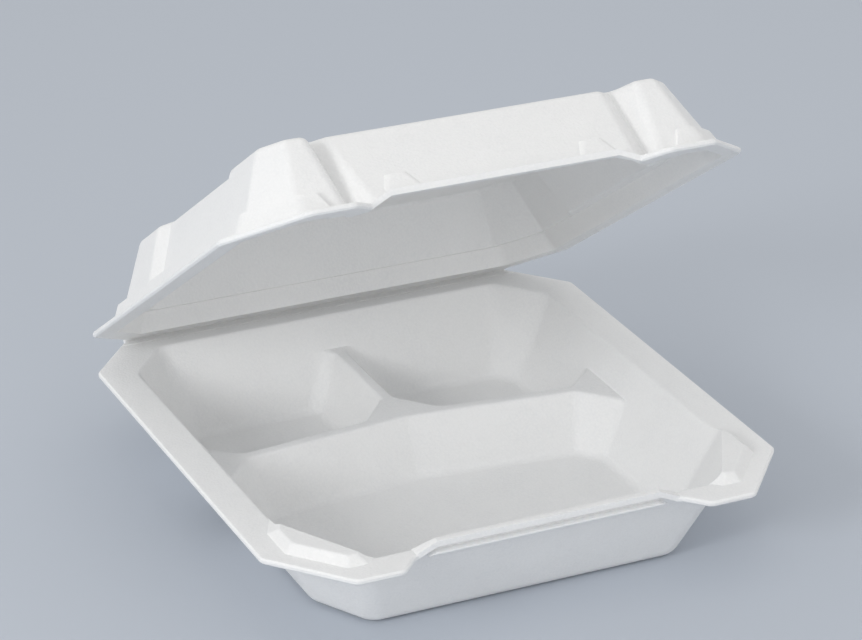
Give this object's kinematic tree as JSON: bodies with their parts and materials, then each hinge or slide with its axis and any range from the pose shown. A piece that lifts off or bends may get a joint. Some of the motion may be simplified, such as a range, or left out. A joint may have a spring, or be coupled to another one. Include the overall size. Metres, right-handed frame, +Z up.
{
  "type": "foam hinged lid container",
  "caption": "Shallow foam food container: a divided tray with sloped walls and a deep lid with corner posts that folds shut on a creased hinge.",
  "frame": {"origin": "middle of the tray's foot, on the surface that it stands on", "axes": "+X along the hinge to the right, +Y from the latched front edge to the hinge, +Z up"},
  "size_m": [0.228, 0.2423, 0.1892],
  "materials": {
    "foam": "matte pressed foam"
  },
  "bodies": {
    "tray": {"tray": "foam"},
    "lid": {"lid": "foam"}
  },
  "joints": [
    {"name": "lid_hinge", "type": "hinge", "parent": "tray", "child": "lid", "pos_m": [0, 0.11925, 0.04015], "axis": [-1, 0, 0], "range_deg": [-34, 146]}
  ]
}
